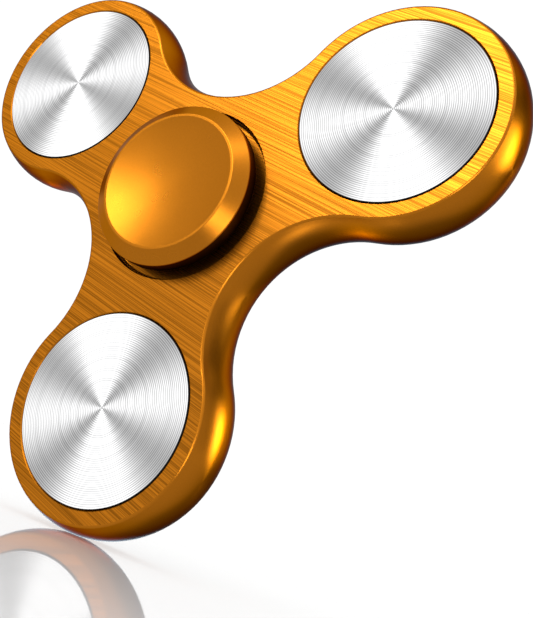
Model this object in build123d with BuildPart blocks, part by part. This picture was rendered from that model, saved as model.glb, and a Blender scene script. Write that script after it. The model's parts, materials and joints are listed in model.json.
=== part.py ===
from build123d import *

import os
from math import cos, radians, sin

# Three-lobed metal fidget spinner, standing on its lower lobe. Units are millimetres.
#
# The spin axis is Y, the front faces -Y and Z is up. The origin is the bearing's centre, on the frame's
# mid-plane. A shielded miniature ball bearing is pressed into the frame, and two finger buttons screw
# together through its inner ring. Three turned steel weights fill the lobes.

os.makedirs("parts", exist_ok=True)

# Frame
FRAME_THICKNESS = 7.2
LOBE_DISTANCE = 26.1  # spin axis to each lobe's centre
FACE_LOBE_RADIUS = 12.75  # lobe radius where the wall meets a face
WALL_BULGE = 0.9  # how far the wall swells at mid-thickness
EDGE_RADIUS = 0.3
BORE_CHAMFER = 0.15
LOBE_ANGLES = {"lower": -90, "upper_right": 30, "upper_left": 150}
BAY_ANGLES = (90, 210, 330)

# Weights
WEIGHT_RADIUS = 11.0
WEIGHT_CHAMFER = 0.12

# Centre recess and bearing, which is the inch size R188: 1/2 by 1/4 by 3/16 inch
RECESS_RADIUS = 10.75
RECESS_CORNER_RADIUS = 0.5
BEARING_RADIUS = 6.35
BEARING_BORE_RADIUS = 3.175
BEARING_WIDTH = 4.762
BEARING_EDGE = 0.2
BALL_RADIUS = 0.794
BALL_COUNT = 10
PITCH_RADIUS = (BEARING_RADIUS + BEARING_BORE_RADIUS) / 2
RACE_CLEARANCE = 0.01
GROOVE_RADIUS = 1.06 * BALL_RADIUS
GROOVE_DEPTH = 0.3
SHIELD_SEAT_RADIUS = 5.75
SHIELD_SEAT_DEPTH = 0.62
SHIELD_THICKNESS = 0.25
SHIELD_GAP = 0.14  # between a shield and the inner ring
WIRE_RADIUS = 0.14
WIRE_GAP_ANGLE = 30  # the opening in each snap wire, at the top

# Ball cage
CAGE_RADIAL_GAP = 0.16
CAGE_BACK = -1.3
CAGE_FRONT = 0.45
POCKET_CLEARANCE = 0.05

# Finger buttons
BUTTON_RADIUS = 10.0
BUTTON_GAP = 0.7  # frame face to the button's underside
BUTTON_SHOULDER = 2.5  # frame face to the foot of the button's bevel
BUTTON_PROUD = 3.6  # frame face to the button's land
BEVEL_INNER_RADIUS = 8.45
LAND_WIDTH = 0.3
DISH_DEPTH = 1.0
BUTTON_EDGE = 0.12
UNDERSIDE_EDGE = 0.3
BOSS_RADIUS = 4.0
POST_RADIUS = 3.165
POST_END = -2.2
STUD_RADIUS = 1.98
THREAD_CLEARANCE = 0.02
STUD_END = 2.8
STUD_BORE_END = 3.2
STUD_CHAMFER = 0.3

FACE = FRAME_THICKNESS / 2
BEARING_FACE = BEARING_WIDTH / 2
SPIN_AXIS = (0, 1, 0)
FRONT_PLANE = Plane.XZ  # its normal is -Y, towards the front


def polar_point(radius, angle):
    """The point at that radius from the spin axis, on the mid-plane. Angle 0 is +X and 90 is +Z."""
    return (radius * cos(radians(angle)), 0, radius * sin(radians(angle)))


def section_plane(origin=(0, 0, 0), angle=0):
    """A plane for profiles to revolve: local x is the radius, local y the height towards the front."""
    x_dir = polar_point(1, angle)
    return Plane(origin=origin, x_dir=x_dir, z_dir=(x_dir[2], 0, -x_dir[0]))


def finish(builder, label):
    """Names a finished piece and writes its file."""
    builder.part.label = label
    export_step(builder.part, f"parts/{label}.step")


# Frame: lobes are barrels and bays are waisted cuts, on the alternate corners of a hexagon, so that
# each pair meets in tangency on the hexagon's side between them.
bay_face_radius = LOBE_DISTANCE - FACE_LOBE_RADIUS
with BuildPart() as frame:
    with BuildSketch(FRONT_PLANE.offset(-FACE)):
        RegularPolygon(LOBE_DISTANCE, 6, rotation=30)
    extrude(amount=FRAME_THICKNESS)
    for angle in BAY_ANGLES:
        centre = polar_point(LOBE_DISTANCE, angle)
        with BuildSketch(section_plane(centre)):
            with BuildLine():
                Polyline((bay_face_radius, -FACE), (0, -FACE), (0, FACE), (bay_face_radius, FACE))
                ThreePointArc(
                    (bay_face_radius, -FACE),
                    (bay_face_radius - WALL_BULGE, 0),
                    (bay_face_radius, FACE),
                )
            make_face()
        revolve(axis=Axis(centre, SPIN_AXIS), mode=Mode.SUBTRACT)
    for angle in LOBE_ANGLES.values():
        centre = polar_point(LOBE_DISTANCE, angle)
        with BuildSketch(section_plane(centre)):
            with BuildLine():
                Polyline((FACE_LOBE_RADIUS, -FACE), (0, -FACE), (0, FACE), (FACE_LOBE_RADIUS, FACE))
                ThreePointArc(
                    (FACE_LOBE_RADIUS, -FACE),
                    (FACE_LOBE_RADIUS + WALL_BULGE, 0),
                    (FACE_LOBE_RADIUS, FACE),
                )
            make_face()
        revolve(axis=Axis(centre, SPIN_AXIS))
    front_face = frame.faces().filter_by(Axis.Y).sort_by(Axis.Y)[0]
    back_face = frame.faces().filter_by(Axis.Y).sort_by(Axis.Y)[-1]
    fillet(front_face.outer_wire().edges() + back_face.outer_wire().edges(), EDGE_RADIUS)
    with BuildSketch(FRONT_PLANE.offset(-FACE)):
        with PolarLocations(LOBE_DISTANCE, 3, start_angle=30):
            Circle(WEIGHT_RADIUS)
    extrude(amount=FRAME_THICKNESS, mode=Mode.SUBTRACT)
    with BuildSketch(FRONT_PLANE.offset(-FACE)):
        Circle(BEARING_RADIUS)
    extrude(amount=FRAME_THICKNESS, mode=Mode.SUBTRACT)
    with BuildSketch(FRONT_PLANE.offset(-FACE), FRONT_PLANE.offset(BEARING_FACE)):
        Circle(RECESS_RADIUS)
    extrude(amount=FACE - BEARING_FACE, mode=Mode.SUBTRACT)
    mouths = frame.edges().filter_by(GeomType.CIRCLE)
    mouths = mouths.filter_by(lambda e: abs(abs(e.center().Y) - FACE) < 0.01)
    chamfer(mouths.filter_by(lambda e: abs(e.radius - WEIGHT_RADIUS) < 0.01), BORE_CHAMFER)
    floors = frame.edges().filter_by(GeomType.CIRCLE)
    floors = floors.filter_by(lambda e: abs(abs(e.center().Y) - BEARING_FACE) < 0.01)
    fillet(floors.filter_by(lambda e: abs(e.radius - RECESS_RADIUS) < 0.01), RECESS_CORNER_RADIUS)
finish(frame, "frame")


# Weights: solid steel slugs pressed into the lobes, flush with both faces.
for name, angle in LOBE_ANGLES.items():
    x, _, z = polar_point(LOBE_DISTANCE, angle)
    with BuildPart() as weight:
        with BuildSketch(FRONT_PLANE.offset(-FACE)):
            with Locations((x, z)):
                Circle(WEIGHT_RADIUS)
        extrude(amount=FRAME_THICKNESS)
        chamfer(weight.edges().filter_by(GeomType.CIRCLE), WEIGHT_CHAMFER)
    finish(weight, f"weight_{name}")


# Bearing rings. Each race is a groove a little wider than the balls.
inner_groove_bottom = PITCH_RADIUS - BALL_RADIUS - RACE_CLEARANCE
outer_groove_bottom = PITCH_RADIUS + BALL_RADIUS + RACE_CLEARANCE
inner_shoulder = inner_groove_bottom + GROOVE_DEPTH
outer_shoulder = outer_groove_bottom - GROOVE_DEPTH

with BuildPart() as inner_ring:
    with BuildSketch(section_plane()):
        with Locations(((BEARING_BORE_RADIUS + inner_shoulder) / 2, 0)):
            Rectangle(inner_shoulder - BEARING_BORE_RADIUS, BEARING_WIDTH)
        with Locations((inner_groove_bottom + GROOVE_RADIUS, 0)):
            Circle(GROOVE_RADIUS, mode=Mode.SUBTRACT)
    revolve(axis=Axis.Y)
    bore_edges = inner_ring.edges().filter_by(GeomType.CIRCLE)
    chamfer(bore_edges.filter_by(lambda e: abs(e.radius - BEARING_BORE_RADIUS) < 0.01), BEARING_EDGE)
finish(inner_ring, "bearing_inner_ring")

with BuildPart() as outer_ring:
    with BuildSketch(section_plane()):
        with Locations(((BEARING_RADIUS + outer_shoulder) / 2, 0)):
            Rectangle(BEARING_RADIUS - outer_shoulder, BEARING_WIDTH)
        with Locations((outer_groove_bottom - GROOVE_RADIUS, 0)):
            Circle(GROOVE_RADIUS, mode=Mode.SUBTRACT)
        seat_width = SHIELD_SEAT_RADIUS - outer_shoulder
        seat_middle = BEARING_FACE - SHIELD_SEAT_DEPTH / 2
        with Locations(
            (outer_shoulder + seat_width / 2, seat_middle),
            (outer_shoulder + seat_width / 2, -seat_middle),
        ):
            Rectangle(seat_width, SHIELD_SEAT_DEPTH, mode=Mode.SUBTRACT)
        wire_height = BEARING_FACE - SHIELD_SEAT_DEPTH + SHIELD_THICKNESS + WIRE_RADIUS
        with Locations((SHIELD_SEAT_RADIUS, wire_height), (SHIELD_SEAT_RADIUS, -wire_height)):
            Circle(WIRE_RADIUS, mode=Mode.SUBTRACT)
    revolve(axis=Axis.Y)
    rim_edges = outer_ring.edges().filter_by(GeomType.CIRCLE)
    chamfer(rim_edges.filter_by(lambda e: abs(e.radius - BEARING_RADIUS) < 0.01), BEARING_EDGE)
finish(outer_ring, "bearing_outer_ring")


# Balls, one to a node, because each rolls about its own axis.
for number in range(BALL_COUNT):
    x, _, z = polar_point(PITCH_RADIUS, 360 / BALL_COUNT * number)
    with BuildPart() as ball:
        with Locations((x, 0, z)):
            Sphere(BALL_RADIUS)
    finish(ball, f"ball_{number + 1}")


# Cage: a crown whose pockets are open towards the front, so that it snaps over the balls.
with BuildPart() as cage:
    with BuildSketch(FRONT_PLANE.offset(CAGE_BACK)):
        Circle(outer_shoulder - CAGE_RADIAL_GAP)
        Circle(inner_shoulder + CAGE_RADIAL_GAP, mode=Mode.SUBTRACT)
    extrude(amount=CAGE_FRONT - CAGE_BACK)
    with Locations([polar_point(PITCH_RADIUS, 360 / BALL_COUNT * n) for n in range(BALL_COUNT)]):
        Sphere(BALL_RADIUS + POCKET_CLEARANCE, mode=Mode.SUBTRACT)
finish(cage, "ball_cage")


# Shields and the snap wires that hold them in the outer ring.
shield_outside = BEARING_FACE - SHIELD_SEAT_DEPTH + SHIELD_THICKNESS
for side, sign in {"front": 1, "back": -1}.items():
    with BuildPart() as shield:
        with BuildSketch(section_plane()):
            width = SHIELD_SEAT_RADIUS - inner_shoulder - SHIELD_GAP
            with Locations(
                (SHIELD_SEAT_RADIUS - width / 2, sign * (shield_outside - SHIELD_THICKNESS / 2))
            ):
                Rectangle(width, SHIELD_THICKNESS)
        revolve(axis=Axis.Y)
    finish(shield, f"bearing_shield_{side}")

    with BuildPart() as wire:
        with BuildSketch(section_plane(angle=90 - WIRE_GAP_ANGLE / 2)):
            with Locations((SHIELD_SEAT_RADIUS, sign * (shield_outside + WIRE_RADIUS))):
                Circle(WIRE_RADIUS)
        revolve(axis=Axis.Y, revolution_arc=360 - WIRE_GAP_ANGLE)
    finish(wire, f"snap_wire_{side}")


# Finger buttons. The front one's hollow post fills the bearing's bore, and the back one's stud screws
# into it. Their bosses clamp the inner ring from both sides.
underside = FACE + BUTTON_GAP
shoulder = FACE + BUTTON_SHOULDER
land = FACE + BUTTON_PROUD
land_inner_radius = BEVEL_INNER_RADIUS - LAND_WIDTH
dish_sphere_radius = (land_inner_radius**2 + DISH_DEPTH**2) / (2 * DISH_DEPTH)
dish_middle_radius = land_inner_radius / 2
dish_middle_rise = dish_sphere_radius - (dish_sphere_radius**2 - dish_middle_radius**2) ** 0.5

for side, sign in {"front": 1, "back": -1}.items():
    with BuildPart() as button:
        with BuildSketch(section_plane()):
            with BuildLine():
                Polyline(
                    (0, sign * (land - DISH_DEPTH)),
                    (0, sign * BEARING_FACE),
                    (BOSS_RADIUS, sign * BEARING_FACE),
                    (BOSS_RADIUS, sign * underside),
                    (BUTTON_RADIUS - UNDERSIDE_EDGE, sign * underside),
                    (BUTTON_RADIUS, sign * (underside + UNDERSIDE_EDGE)),
                    (BUTTON_RADIUS, sign * shoulder),
                    (BEVEL_INNER_RADIUS, sign * land),
                    (land_inner_radius, sign * land),
                )
                ThreePointArc(
                    (land_inner_radius, sign * land),
                    (dish_middle_radius, sign * (land - DISH_DEPTH + dish_middle_rise)),
                    (0, sign * (land - DISH_DEPTH)),
                )
            make_face()
        revolve(axis=Axis.Y)
        rims = button.edges().filter_by(GeomType.CIRCLE)
        bevel_top = rims.filter_by(lambda e: abs(e.radius - BEVEL_INNER_RADIUS) < 0.01)
        bevel_foot = rims.filter_by(lambda e: abs(e.radius - BUTTON_RADIUS) < 0.01)
        bevel_foot = bevel_foot.filter_by(lambda e: abs(abs(e.center().Y) - shoulder) < 0.01)
        fillet(bevel_top + bevel_foot, BUTTON_EDGE)
        if side == "front":
            with BuildSketch(FRONT_PLANE.offset(POST_END)):
                Circle(POST_RADIUS)
            extrude(amount=BEARING_FACE - POST_END)
            with BuildSketch(FRONT_PLANE.offset(POST_END)):
                Circle(STUD_RADIUS + THREAD_CLEARANCE)
            extrude(amount=STUD_BORE_END - POST_END, mode=Mode.SUBTRACT)
        else:
            with BuildSketch(FRONT_PLANE.offset(-BEARING_FACE)):
                Circle(STUD_RADIUS)
            extrude(amount=STUD_END + BEARING_FACE)
            chamfer(button.edges().filter_by(GeomType.CIRCLE).sort_by(Axis.Y)[0], STUD_CHAMFER)
    finish(button, f"{side}_button")
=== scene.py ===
"""The looks of the three-lobed fidget spinner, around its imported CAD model.

Lengths are in metres, in the CAD frame: the spin axis is Y, the front faces -Y and Z is up. Every piece gets
a finish made of nodes. The weights are rebuilt with real turned rings, and the finger buttons with smooth
dishes. The other CAD parts keep their shapes.
"""

import json
import math

import bmesh
import bpy
from mathutils import Matrix, Vector


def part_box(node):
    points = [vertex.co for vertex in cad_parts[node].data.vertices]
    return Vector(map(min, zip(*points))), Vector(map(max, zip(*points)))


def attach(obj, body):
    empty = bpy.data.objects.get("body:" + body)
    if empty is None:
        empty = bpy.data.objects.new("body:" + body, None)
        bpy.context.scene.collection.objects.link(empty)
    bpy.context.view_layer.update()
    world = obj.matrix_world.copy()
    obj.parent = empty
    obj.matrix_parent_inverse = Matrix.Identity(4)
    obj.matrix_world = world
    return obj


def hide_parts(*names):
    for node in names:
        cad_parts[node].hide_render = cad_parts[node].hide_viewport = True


MM = 0.001

# Weights: turned rings on both faces
RING_PITCH = 0.229 * MM
RING_DEPTH = 0.007 * MM
RING_SAMPLES = 4  # radial steps in each ring
RING_SEGMENTS = 144  # steps round each ring
WEIGHT_CHAMFER = 0.12 * MM

# Finger buttons, with heights from the frame's face
BUTTON_RADIUS = 10.0 * MM
BUTTON_GAP = 0.7 * MM
BUTTON_SHOULDER = 2.5 * MM
BUTTON_PROUD = 3.6 * MM
BEVEL_INNER_RADIUS = 8.45 * MM
LAND_WIDTH = 0.3 * MM
DISH_DEPTH = 1.0 * MM
BUTTON_EDGE = 0.14 * MM
UNDERSIDE_EDGE = 0.3 * MM
BOSS_RADIUS = 4.0 * MM
BEARING_FACE = 2.381 * MM
POST_RADIUS = 3.165 * MM
POST_END = -2.2 * MM
STUD_RADIUS = 1.98 * MM
STUD_BORE_RADIUS = 2.0 * MM
STUD_END = 2.8 * MM
STUD_BORE_END = 3.2 * MM
STUD_CHAMFER = 0.3 * MM
BUTTON_SEGMENTS = 192
DISH_STEPS = 24
CORNER_STEPS = 6
PAINTED_REFLECTION_FADE = 1.2 * MM  # how far below the shoulder the skirt turns from the painted olive reflection to black
PAINTED_HIGHLIGHT_TOP = BUTTON_GAP + 0.7 * UNDERSIDE_EDGE  # the painted grey highlight goes part of the way round the edge

SUPPORT_SETBACK = 0.02 * MM
SHARP_ANGLE = math.radians(32)

# Brushing on the frame's two faces. The scales are noise features per metre: along a line, into the metal
# and across the lines
BRUSH_ANGLE = math.radians(-17)  # the lines' tilt from +X, seen from the front
BRUSH_LINES = (26, 200, 7200)
BRUSH_HAIRLINES = (60, 200, 11000)
BRUSH_BANDS = (18, 200, 1200)
BRUSH_SHARES = (0.45, 0.45, 0.10)  # how much of the pattern the lines, hairlines and bands each make
BRUSH_LIMITS = (0.42, 0.58)  # past these, a line is as dark or as light as it gets
BRUSH_GAIN = (0.62, 1.28)  # how dark and how light that is
BRUSH_RELIEF = 0.0025 * MM
BLAST_SHARE = 0.15  # the blasted walls' relief, as a share of the brushing's
FACE_NORMAL_LIMIT = 0.995  # a surface facing closer to Y than this is a brushed face

# Fine grain, in noise features per metre, and its relief
FRAME_GRAIN = 6000.0
BUTTON_GRAIN = 5000.0
BUTTON_CLOUDS = 260.0
TURNED_MARKS = (400, 9000, 400)
NYLON_MOTTLE = 900.0
FLOOR_MOTTLE = 60.0
BUTTON_RELIEF = 0.0003 * MM
STEEL_RELIEF = 0.0006 * MM
NYLON_RELIEF = 0.004 * MM

# Turned steel, with a painted sheen in lighter and darker sectors and painted light on the rings
PAINTED_SHEEN_ANGLE = math.radians(111)  # the painted sheen's lightest sector's direction, seen from the front
PAINTED_SHEEN_SHARES = (0.4, 0.6)  # how much of the painted sheen the two-sector and four-sector patterns each make
PAINTED_SHEEN_LIMITS = (-0.65, 0.45)  # past these, a painted sheen sector is as dark or as light as it gets
RING_PAINTED_LIGHT = (0.60, 1.30)  # how dark the painted shade in a ring's cut is and how light the painted highlight on its ridge is
RING_WANDER = 0.16 * MM  # how far apart the rings' irregularities are
SEAM_WIDTH = 1.1 * WEIGHT_CHAMFER

# Colours, linear
ANODISED = (0.42, 0.137, 0.008)
ANODISED_BUTTON = (0.40, 0.132, 0.008)
# The dyed layer looks deeper at a glancing angle, most on the frame
FRAME_EDGE_TINT = (0.10, 0.20, 0.30)
BUTTON_EDGE_TINT = (0.60, 0.50, 0.45)
SKIRT_BLACK = (0.010, 0.008, 0.006)
# Painted reflection: the skirt's olive just under the shoulder
SKIRT_PAINTED_REFLECTION = (0.050, 0.032, 0.006)
# Painted highlight: the grey along the underside's edge
UNDERSIDE_PAINTED_HIGHLIGHT = (0.10, 0.11, 0.11)
TURNED_STEEL = (1.0, 1.0, 1.005)
PAINTED_SHEEN_DARKEST = 0.36  # the turned steel's darkest and lightest painted sheen sectors
PAINTED_SHEEN_LIGHTEST = 1.00
SEAM_DARK = (0.012, 0.011, 0.010)
POLISHED_STEEL = (0.60, 0.60, 0.61)
SHIELD_STEEL = (0.30, 0.30, 0.31)
NYLON = (0.62, 0.58, 0.46)
FLOOR_WHITE = (0.97, 0.97, 0.97)

# Camera
CAMERA_PLACE = Vector((67.42, -90.93, -31.09)) * MM
CAMERA_FORWARD = Vector((-0.5541, 0.7972, 0.2396))
CAMERA_UP = Vector((-0.1496, -0.3785, 0.9134))
CAMERA_LENS = 57.48
CAMERA_SENSOR = 36  # along the picture's long side
CAMERA_SHIFT = (0.082, -0.112)  # the object stands off-centre in the picture

# The studio's brightness all round, as (degrees from +X towards +Y, level), above and below the horizon
STUDIO_WHITE = 1.06
UNDERSIDE_LEVEL = 0.75  # straight down
UPPER_LEVELS = ((-90, 1.0), (-20, 0.95), (0, 0.80), (32, 0.04), (60, 0.04), (70, 1.0))
LOWER_LEVELS = ((-90, 0.85), (-60, 0.75), (15, 0.75), (48, 0.62), (64, 0.22), (104, 0.24), (124, 1.0))
HORIZON_FADE = (-0.10, 0.0)  # the direction's Z, from the lower levels to the upper ones
TOP_FADE = (0.66, 0.80)
BOTTOM_FADE = (-0.76, -0.95)

# Lights, with sizes in metres. The brightness counts the white studio as 1
FLOOR_REACH = 6.0
SOFTBOX_DISTANCE = 0.5
GLINT_SPREAD = math.radians(36)
# Softboxes: name, direction from the object, size and brightness
SOFTBOXES = (
    ("key", (-0.26, -0.81, 0.52), (0.25, 0.25), 7.6),
    ("top_front", (0.10, -0.63, 0.78), (0.20, 0.20), 3.8),
    ("front_right", (0.50, -0.84, -0.18), (0.14, 0.15), 9.5),
    ("back_left", (-0.55, 0.72, -0.42), (0.22, 0.22), 4.0),
)
# The weights and the floor take no light from those, and the weights have their own
WEIGHT_SOFTBOXES = (
    ("weights_front", (-0.45, -0.85, 0.10), (0.90, 0.90), 0.30),
    ("weights_back", (0.30, 0.90, -0.10), (0.90, 0.90), 0.85),
)
# Hooded lights beside the frame's walls: name, place and aim in millimetres, size and brightness
GLINTS = (
    ("glint_lower", (33.5, 21.0, -21.0), (13.6, -0.8, -26.0), (0.012, 0.020), 0.70),
    ("glint_right", (60.8, 14.3, 15.5), (35.6, -2.0, 10.5), (0.012, 0.018), 0.70),
    ("glint_neck", (22.7, 6.9, -29.5), (17.0, -2.7, -1.9), (0.008, 0.008), 0.12),
)


# ---------------------------------------------------------------- node helpers


class Nodes:
    """A short way to build a node tree: each call adds a node and links or sets its inputs."""

    def __init__(self, tree):
        self.tree = tree
        self.tree.nodes.clear()

    def add(self, kind, inputs=None, **settings):
        node = self.tree.nodes.new(kind)
        for key, value in settings.items():
            setattr(node, key, value)
        for key, value in (inputs or {}).items():
            self.feed(node.inputs[key], value)
        return node

    def feed(self, socket, value):
        if isinstance(value, bpy.types.NodeSocket):
            self.tree.links.new(value, socket)
        else:
            socket.default_value = value

    def math(self, operation, a, b=0.0):
        return self.add("ShaderNodeMath", {0: a, 1: b}, operation=operation).outputs[0]

    def remap(self, value, low, high, to_low, to_high):
        inputs = {"Value": value, "From Min": low, "From Max": high, "To Min": to_low, "To Max": to_high}
        return self.add("ShaderNodeMapRange", inputs).outputs[0]

    def vary(self, noise, low, high):
        """Turns a noise, which keeps near its middle, into a value between two limits."""
        return self.remap(noise, 0.3, 0.7, low, high)

    def blend(self, factor, a, b):
        """Mixes two numbers."""
        return self.add("ShaderNodeMix", {0: factor, 2: a, 3: b}, data_type="FLOAT").outputs[0]

    def blend_colours(self, factor, a, b):
        return self.add("ShaderNodeMix", {0: factor, 6: a, 7: b}, data_type="RGBA").outputs[2]

    def scale_colour(self, colour, factor):
        inputs = {0: colour, "Scale": factor}
        return self.add("ShaderNodeVectorMath", inputs, operation="SCALE").outputs[0]

    def noise(self, vector, scale, detail=2.0, roughness=0.5):
        inputs = {"Vector": vector, "Scale": scale, "Detail": detail, "Roughness": roughness}
        return self.add("ShaderNodeTexNoise", inputs).outputs[0]

    def place(self, vector, rotation=(0, 0, 0), scale=(1, 1, 1)):
        inputs = {"Vector": vector, "Rotation": rotation, "Scale": scale}
        return self.add("ShaderNodeMapping", inputs).outputs[0]

    def weigh(self, values, shares):
        """Adds up some values, each times its share."""
        parts = [self.math("MULTIPLY", value, share) for value, share in zip(values, shares)]
        total = parts[0]
        for part in parts[1:]:
            total = self.math("ADD", total, part)
        return total

    def bump(self, height, distance):
        inputs = {"Height": height, "Distance": distance, "Strength": 1.0}
        return self.add("ShaderNodeBump", inputs).outputs[0]


def colour4(colour):
    return (*colour, 1.0)


def new_material(name):
    material = bpy.data.materials.new(name)
    material.use_nodes = True
    return material, Nodes(material.node_tree)


def finish_shader(nodes, **inputs):
    """Adds the one metal or plastic shader and the output."""
    shader = nodes.add("ShaderNodeBsdfPrincipled")
    for key, value in inputs.items():
        nodes.feed(shader.inputs[key.replace("_", " ")], value)
    nodes.add("ShaderNodeOutputMaterial", {"Surface": shader.outputs[0]})


# ---------------------------------------------------------------- materials


def frame_material():
    """Anodised aluminium: straight brushing on the flat faces, fine satin blasting on the rounded walls."""
    material, nodes = new_material("frame_anodised")
    coords = nodes.add("ShaderNodeTexCoord")
    point = coords.outputs["Object"]
    facing = nodes.add("ShaderNodeSeparateXYZ", {0: coords.outputs["Normal"]}).outputs["Y"]
    facing = nodes.math("ABSOLUTE", facing)
    is_face = nodes.math("GREATER_THAN", facing, FACE_NORMAL_LIMIT)

    along_lines = nodes.place(point, rotation=(0, BRUSH_ANGLE, 0))
    patterns = [
        nodes.noise(nodes.place(along_lines, scale=scale), 1.0, detail=1.0)
        for scale in (BRUSH_LINES, BRUSH_HAIRLINES, BRUSH_BANDS)
    ]
    streak = nodes.weigh(patterns, BRUSH_SHARES)
    streak_gain = nodes.remap(streak, *BRUSH_LIMITS, *BRUSH_GAIN)
    grain = nodes.noise(point, FRAME_GRAIN)
    grain_gain = nodes.vary(grain, 0.97, 1.03)

    gain = nodes.blend(is_face, grain_gain, streak_gain)
    colour = nodes.scale_colour(ANODISED, gain)
    face_roughness = nodes.remap(streak, 0.40, 0.60, 0.38, 0.30)
    roughness = nodes.blend(is_face, 0.30, face_roughness)
    height = nodes.blend(is_face, nodes.math("MULTIPLY", grain, BLAST_SHARE), streak)
    normal = nodes.bump(height, BRUSH_RELIEF)
    tangent = nodes.add(
        "ShaderNodeVectorTransform",
        {0: (math.cos(BRUSH_ANGLE), 0, math.sin(BRUSH_ANGLE))},
        vector_type="VECTOR",
        convert_from="OBJECT",
        convert_to="WORLD",
    ).outputs[0]
    finish_shader(
        nodes,
        Base_Color=colour,
        Metallic=1.0,
        Roughness=roughness,
        Specular_Tint=colour4(FRAME_EDGE_TINT),
        Anisotropic=0.5,
        Tangent=tangent,
        Normal=normal,
    )
    return material


def button_material(face):
    """Satin blasted anodised aluminium. The skirt goes from a painted olive reflection under the shoulder to
    black, and the underside is painted grey as a highlight along its edge.
    """
    material, nodes = new_material("button_anodised")
    point = nodes.add("ShaderNodeTexCoord").outputs["Object"]
    grain = nodes.noise(point, BUTTON_GRAIN, detail=1.0)
    cloud = nodes.noise(point, BUTTON_CLOUDS)
    gold = nodes.scale_colour(ANODISED_BUTTON, nodes.vary(grain, 0.97, 1.03))
    height = nodes.add("ShaderNodeSeparateXYZ", {0: point}).outputs["Y"]
    height = nodes.math("ABSOLUTE", height)
    shoulder = face + BUTTON_SHOULDER - BUTTON_EDGE
    # The olive under the shoulder is a painted reflection
    painted_reflection_fade = nodes.remap(height, shoulder - PAINTED_REFLECTION_FADE, shoulder, 0.0, 1.0)
    skirt = nodes.blend_colours(painted_reflection_fade, colour4(SKIRT_BLACK), colour4(SKIRT_PAINTED_REFLECTION))
    is_gold = nodes.math("GREATER_THAN", height, shoulder)
    colour = nodes.blend_colours(is_gold, skirt, gold)
    # The grey underside is a painted highlight along the skirt's lower edge
    is_painted_highlight = nodes.math("LESS_THAN", height, face + PAINTED_HIGHLIGHT_TOP)
    colour = nodes.blend_colours(is_painted_highlight, colour, colour4(UNDERSIDE_PAINTED_HIGHLIGHT))
    roughness = nodes.vary(cloud, 0.27, 0.31)
    normal = nodes.bump(grain, BUTTON_RELIEF)
    finish_shader(
        nodes,
        Base_Color=colour,
        Metallic=1.0,
        Roughness=roughness,
        Specular_Tint=colour4(BUTTON_EDGE_TINT),
        Normal=normal,
    )
    return material


def weight_material(weight_radius):
    """Turned steel: each ring's tone and finish differ a little, with painted shade in the rings' cuts and a
    painted highlight on their ridges. The lighter and darker sectors are a painted sheen, and the seam at
    the rim is dark.
    """
    material, nodes = new_material("weight_steel")
    coords = nodes.add("ShaderNodeTexCoord")
    split = nodes.add("ShaderNodeSeparateXYZ", {0: coords.outputs["Object"]})
    squares = nodes.math(
        "ADD",
        nodes.math("POWER", split.outputs["X"], 2.0),
        nodes.math("POWER", split.outputs["Z"], 2.0),
    )
    radius = nodes.math("SQRT", squares)
    wave_place = nodes.add("ShaderNodeCombineXYZ", {"X": radius, "Y": split.outputs["Y"]}).outputs[0]
    rings = nodes.noise(wave_place, 1.0 / RING_WANDER, roughness=0.6)
    # Painted shade in each ring's cut and a painted highlight on its ridge, on top of each ring's own tone
    ridge = nodes.math("COSINE", nodes.math("MULTIPLY", radius, 2 * math.pi / RING_PITCH))
    painted_ridge_light = nodes.remap(ridge, -1, 1, *RING_PAINTED_LIGHT)
    ring_tone_and_painted_light = nodes.math("MULTIPLY", nodes.vary(rings, 0.90, 1.10), painted_ridge_light)
    # Lighter and darker sectors are a painted sheen, which comes from a pattern of two and a pattern of four
    painted_sheen_angle = nodes.math("ARCTAN2", split.outputs["Z"], split.outputs["X"])
    painted_sheen_angle = nodes.math("SUBTRACT", painted_sheen_angle, PAINTED_SHEEN_ANGLE)
    patterns = [nodes.math("COSINE", nodes.math("MULTIPLY", painted_sheen_angle, count)) for count in (2.0, 4.0)]
    painted_sheen = nodes.weigh(patterns, PAINTED_SHEEN_SHARES)
    # level is the painted sheen's brightness in each sector
    level = nodes.remap(painted_sheen, *PAINTED_SHEEN_LIMITS, PAINTED_SHEEN_DARKEST, PAINTED_SHEEN_LIGHTEST)
    # The steel's colour carries the painted sheen and the rings' painted shade and highlight
    gain = nodes.math("MULTIPLY", level, ring_tone_and_painted_light)
    steel = nodes.scale_colour(TURNED_STEEL, gain)
    is_seam = nodes.math("GREATER_THAN", radius, weight_radius - SEAM_WIDTH)
    colour = nodes.blend_colours(is_seam, steel, colour4(SEAM_DARK))
    tangent = nodes.add("ShaderNodeTangent", direction_type="RADIAL", axis="Y").outputs[0]
    roughness = nodes.vary(rings, 0.36, 0.28)
    finish_shader(
        nodes,
        Base_Color=colour,
        Metallic=1.0,
        Roughness=roughness,
        Anisotropic=0.85,
        Tangent=tangent,
    )
    return material


def steel_material(name, colour, roughness_low, roughness_high):
    """Plain ground or stamped steel with fine circumferential marks."""
    material, nodes = new_material(name)
    point = nodes.add("ShaderNodeTexCoord").outputs["Object"]
    marks = nodes.noise(nodes.place(point, scale=TURNED_MARKS), 1.0, detail=3.0)
    tone = nodes.scale_colour(colour, nodes.vary(marks, 0.88, 1.08))
    roughness = nodes.vary(marks, roughness_low, roughness_high)
    normal = nodes.bump(marks, STEEL_RELIEF)
    finish_shader(nodes, Base_Color=tone, Metallic=1.0, Roughness=roughness, Normal=normal)
    return material


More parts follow.
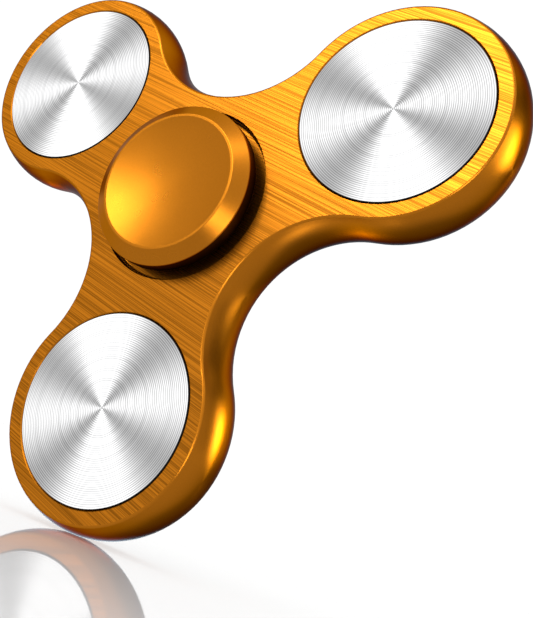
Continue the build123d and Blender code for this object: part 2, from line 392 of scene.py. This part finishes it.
def nylon_material():
    """Moulded nylon, slightly mottled."""
    material, nodes = new_material("cage_nylon")
    point = nodes.add("ShaderNodeTexCoord").outputs["Object"]
    mottle = nodes.noise(point, NYLON_MOTTLE, detail=3.0)
    tone = nodes.scale_colour(NYLON, nodes.vary(mottle, 0.85, 1.08))
    roughness = nodes.vary(mottle, 0.42, 0.55)
    normal = nodes.bump(mottle, NYLON_RELIEF)
    finish_shader(nodes, Base_Color=tone, Roughness=roughness, Normal=normal)
    return material


def floor_material():
    """A white glossy table."""
    material, nodes = new_material("studio_floor")
    point = nodes.add("ShaderNodeTexCoord").outputs["Object"]
    mottle = nodes.noise(point, FLOOR_MOTTLE)
    roughness = nodes.vary(mottle, 0.025, 0.035)
    finish_shader(nodes, Base_Color=colour4(FLOOR_WHITE), Roughness=roughness)
    return material


# ---------------------------------------------------------------- turned pieces


def round_corner(before, corner, after, radius):
    """The points of an arc that replaces a profile's corner."""
    to_before = (before - corner).normalized()
    to_after = (after - corner).normalized()
    half_angle = to_before.angle(to_after) / 2
    centre = corner + (to_before + to_after).normalized() * radius / math.sin(half_angle)
    first = corner + to_before * radius / math.tan(half_angle) - centre
    last = corner + to_after * radius / math.tan(half_angle) - centre
    spokes = [first.lerp(last, i / CORNER_STEPS) for i in range(CORNER_STEPS + 1)]
    return [centre + spoke.normalized() * radius for spoke in spokes]


def round_profile(corners):
    """Turns (radius, height, corner radius) rows into points, with an arc for each corner radius."""
    points = []
    for i, (radius, height, rounding) in enumerate(corners):
        corner = Vector((radius, height))
        if rounding:
            before = Vector(corners[i - 1][:2])
            after = Vector(corners[i + 1][:2])
            points.extend(round_corner(before, corner, after, rounding))
        else:
            points.append(corner)
    return points


def support(points):
    """Adds a point near each end of every long run, so that smooth shading stays flat between them."""
    supported = [points[0]]
    for start, end in zip(points, points[1:]):
        run = end - start
        if run.length > 8 * SUPPORT_SETBACK:
            setback = run.normalized() * SUPPORT_SETBACK
            supported.extend([start + setback, end - setback])
        supported.append(end)
    return supported


def turn(name, points, segments, centre):
    """Turns a profile, from axis to axis, about a line along Y. Its heights point towards the front."""
    mesh = bmesh.new()
    rows = []
    for radius, height in points:
        if radius < SUPPORT_SETBACK / 10:
            rows.append([mesh.verts.new((0, -height, 0))] * segments)
            continue
        row = []
        for segment in range(segments):
            angle = 2 * math.pi * segment / segments
            row.append(mesh.verts.new((radius * math.cos(angle), -height, radius * math.sin(angle))))
        rows.append(row)
    for outer, inner in zip(rows, rows[1:]):
        for a in range(segments):
            b = (a + 1) % segments
            corners = dict.fromkeys((outer[a], outer[b], inner[b], inner[a]))
            mesh.faces.new(corners)
    bmesh.ops.recalc_face_normals(mesh, faces=mesh.faces)
    for face in mesh.faces:
        face.smooth = True
    data = bpy.data.meshes.new(name)
    mesh.to_mesh(data)
    mesh.free()
    data.set_sharp_from_angle(angle=SHARP_ANGLE)
    piece = bpy.data.objects.new(name, data)
    bpy.context.scene.collection.objects.link(piece)
    piece.location = centre
    return piece


def stand_for(piece, node, body, material):
    """Puts a rebuilt piece in its CAD node's place."""
    piece.data.materials.append(material)
    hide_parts(node)
    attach(piece, body)


def ring_height(radius):
    """The turned face's depth at that radius: shallow round cuts that meet in ridges."""
    position = radius / RING_PITCH
    across = 2 * (position - math.floor(position)) - 1
    return -RING_DEPTH * (1 - across * across)


def build_weight(node, weight_radius, material):
    """A steel slug with turned rings on both faces."""
    low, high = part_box(node)
    half_width = (high.y - low.y) / 2
    rim = weight_radius - WEIGHT_CHAMFER
    steps = round(rim / RING_PITCH) * RING_SAMPLES
    profile = [Vector((0, half_width - RING_DEPTH))]
    for i in range(1, steps):
        radius = rim * i / steps
        profile.append(Vector((radius, half_width + ring_height(radius))))
    profile.append(Vector((rim, half_width)))
    profile.append(Vector((weight_radius, half_width - WEIGHT_CHAMFER)))
    back = [Vector((radius, -height)) for radius, height in reversed(profile)]
    piece = turn(f"turned_{node}", profile + back, RING_SEGMENTS, (low + high) / 2)
    stand_for(piece, node, "rotor", material)
    return piece


def button_head(face):
    """The button's outside, from the middle of its dish to its boss."""
    land = face + BUTTON_PROUD
    underside = face + BUTTON_GAP
    land_inner = BEVEL_INNER_RADIUS - LAND_WIDTH
    sphere_radius = (land_inner**2 + DISH_DEPTH**2) / (2 * DISH_DEPTH)
    dish = []
    for i in range(DISH_STEPS):
        radius = land_inner * i / DISH_STEPS
        rise = sphere_radius - math.sqrt(sphere_radius**2 - radius**2)
        dish.append(Vector((radius, land - DISH_DEPTH + rise)))
    outside = round_profile(
        [
            (land_inner, land, 0),
            (BEVEL_INNER_RADIUS, land, BUTTON_EDGE),
            (BUTTON_RADIUS, face + BUTTON_SHOULDER, BUTTON_EDGE),
            (BUTTON_RADIUS, underside, UNDERSIDE_EDGE),
            (BOSS_RADIUS, underside, 0),
            (BOSS_RADIUS, BEARING_FACE, 0),
        ]
    )
    return dish + outside


def build_buttons(face, material):
    """The finger buttons: the front one has a hollow post, and the back one a stud that screws into it."""
    post = [
        Vector((POST_RADIUS, BEARING_FACE)),
        Vector((POST_RADIUS, POST_END)),
        Vector((STUD_BORE_RADIUS, POST_END)),
        Vector((STUD_BORE_RADIUS, STUD_BORE_END)),
        Vector((0, STUD_BORE_END)),
    ]
    front = turn("dished_front_button", support(button_head(face) + post), BUTTON_SEGMENTS, (0, 0, 0))
    stand_for(front, "front_button", "hub", material)

    stud = [
        Vector((STUD_RADIUS, BEARING_FACE)),
        Vector((STUD_RADIUS, -STUD_END + STUD_CHAMFER)),
        Vector((STUD_RADIUS - STUD_CHAMFER, -STUD_END)),
        Vector((0, -STUD_END)),
    ]
    outline = [Vector((radius, -height)) for radius, height in support(button_head(face) + stud)]
    back = turn("dished_back_button", outline, BUTTON_SEGMENTS, (0, 0, 0))
    stand_for(back, "back_button", "hub", material)


# ---------------------------------------------------------------- stage


def add_floor(height):
    """A large pale floor under the lowest lobe. The metal doesn't mirror it, so its underside stays dark."""
    mesh = bpy.data.meshes.new("floor")
    corners = [(x * FLOOR_REACH, y * FLOOR_REACH, 0) for x, y in ((-1, -1), (1, -1), (1, 1), (-1, 1))]
    mesh.from_pydata(corners, [], [(0, 1, 2, 3)])
    floor = bpy.data.objects.new("floor", mesh)
    bpy.context.scene.collection.objects.link(floor)
    floor.location = (0, 0, height)
    floor.visible_glossy = False
    mesh.materials.append(floor_material())
    return floor


def add_light(name, place, aim, size, brightness, spread, linking):
    """A rectangular area light that falls on the linked pieces, this many times as bright as the studio."""
    light = bpy.data.lights.new(name, "AREA")
    light.shape = "RECTANGLE"
    light.size, light.size_y = size
    light.spread = spread
    light.energy = brightness * math.pi * light.size * light.size_y
    holder = bpy.data.objects.new(name, light)
    bpy.context.scene.collection.objects.link(holder)
    holder.location = place
    holder.rotation_euler = (Vector(place) - Vector(aim)).to_track_quat("Z", "Y").to_euler()
    holder.visible_camera = False
    holder.light_linking.receiver_collection = linking


def add_softbox(name, direction, size, brightness, linking):
    """A large light a good way off in that direction."""
    place = Vector(direction).normalized() * SOFTBOX_DISTANCE
    add_light(name, place, (0, 0, 0), size, brightness, math.pi, linking)


def add_glint(name, place, aim, size, brightness, linking):
    """A small light with a hood, close beside the wall that it aims at. Both places are in millimetres."""
    add_light(name, Vector(place) * MM, Vector(aim) * MM, size, brightness, GLINT_SPREAD, linking)


def level_by_azimuth(nodes, azimuth, stops):
    """Looks up the studio's brightness from (degrees from +X towards +Y, level) rows."""
    turns = nodes.math("ADD", nodes.math("MULTIPLY", azimuth, 0.5 / math.pi), 0.5)
    ramp = nodes.add("ShaderNodeValToRGB", {0: turns})
    elements = ramp.color_ramp.elements
    while len(elements) < len(stops):
        elements.new(0.5)
    for element, (degrees, level) in zip(elements, stops):
        element.position = degrees / 360 + 0.5
        element.color = (level, level, level, 1.0)
    return nodes.math("MULTIPLY", ramp.outputs["Color"], STUDIO_WHITE)


def add_world():
    """A white studio, with a dark flag at the back right and a darker lower half.

    The camera sees only white: the flag and the lower half are there for the metal to mirror.
    """
    world = bpy.data.worlds.new("studio")
    world.use_nodes = True
    nodes = Nodes(world.node_tree)
    direction = nodes.add("ShaderNodeTexCoord").outputs["Generated"]
    direction = nodes.add("ShaderNodeSeparateXYZ", {0: direction})
    azimuth = nodes.math("ARCTAN2", direction.outputs["Y"], direction.outputs["X"])
    upper = level_by_azimuth(nodes, azimuth, UPPER_LEVELS)
    lower = level_by_azimuth(nodes, azimuth, LOWER_LEVELS)
    is_upper = nodes.remap(direction.outputs["Z"], *HORIZON_FADE, 0.0, 1.0)
    level = nodes.blend(is_upper, lower, upper)
    is_top = nodes.remap(direction.outputs["Z"], *TOP_FADE, 0.0, 1.0)
    level = nodes.blend(is_top, level, STUDIO_WHITE)
    is_bottom = nodes.remap(direction.outputs["Z"], *BOTTOM_FADE, 0.0, 1.0)
    level = nodes.blend(is_bottom, level, UNDERSIDE_LEVEL)
    seen_directly = nodes.add("ShaderNodeLightPath").outputs["Is Camera Ray"]
    level = nodes.blend(seen_directly, level, STUDIO_WHITE)
    background = nodes.add("ShaderNodeBackground", {"Strength": level})
    background.inputs["Color"].default_value = (1, 1, 1, 1)
    nodes.add("ShaderNodeOutputWorld", {"Surface": background.outputs[0]})
    bpy.context.scene.world = world


def add_camera():
    camera = bpy.data.cameras.new("camera")
    camera.lens = CAMERA_LENS
    camera.sensor_width = CAMERA_SENSOR
    camera.shift_x, camera.shift_y = CAMERA_SHIFT
    camera.clip_start = 0.005
    camera.clip_end = 50
    holder = bpy.data.objects.new("camera", camera)
    bpy.context.scene.collection.objects.link(holder)
    back = -CAMERA_FORWARD.normalized()
    right = CAMERA_UP.cross(back).normalized()
    up = back.cross(right)
    axes = Matrix((right, up, back)).transposed().to_4x4()
    holder.matrix_world = Matrix.Translation(CAMERA_PLACE) @ axes
    bpy.context.scene.camera = holder


# ---------------------------------------------------------------- the scene

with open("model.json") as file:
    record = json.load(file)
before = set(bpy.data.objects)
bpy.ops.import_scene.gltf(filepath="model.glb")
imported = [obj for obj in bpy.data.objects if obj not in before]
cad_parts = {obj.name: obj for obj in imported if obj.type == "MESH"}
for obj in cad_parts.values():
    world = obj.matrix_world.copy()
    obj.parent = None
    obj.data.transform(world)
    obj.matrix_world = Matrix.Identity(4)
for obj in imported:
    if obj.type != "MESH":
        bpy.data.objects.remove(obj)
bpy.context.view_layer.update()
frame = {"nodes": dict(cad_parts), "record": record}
low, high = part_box("weight_lower")
weight_radius = (high.x - low.x) / 2
face = high.y

finishes = {
    "frame_anodised": frame_material(),
    "button_anodised": button_material(face),
    "weight_steel": weight_material(weight_radius),
    "bearing_steel": steel_material("bearing_steel", POLISHED_STEEL, 0.14, 0.24),
    "ball_steel": steel_material("ball_steel", POLISHED_STEEL, 0.04, 0.08),
    "shield_steel": steel_material("shield_steel", SHIELD_STEEL, 0.28, 0.40),
    "cage_nylon": nylon_material(),
}
for row in frame["record"]["subparts"]:
    node = frame["nodes"][row["node"]]
    node.data.materials.clear()
    node.data.materials.append(finishes[row["material_slot"]])

weights = [
    build_weight(name, weight_radius, finishes["weight_steel"])
    for name in ("weight_lower", "weight_upper_left", "weight_upper_right")
]
build_buttons(face, finishes["button_anodised"])

floor = add_floor(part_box("frame")[0].z)
add_world()
not_weights = bpy.data.collections.new("all_but_the_weights")
for piece in [floor] + weights:
    not_weights.objects.link(piece)
for member in not_weights.collection_objects:
    member.light_linking.link_state = "EXCLUDE"
only_weights = bpy.data.collections.new("the_weights_alone")
for piece in weights:
    only_weights.objects.link(piece)
for row in SOFTBOXES:
    add_softbox(*row, not_weights)
for row in WEIGHT_SOFTBOXES:
    add_softbox(*row, only_weights)
for row in GLINTS:
    add_glint(*row, not_weights)
add_camera()
bpy.context.scene.view_settings.view_transform = "Standard"
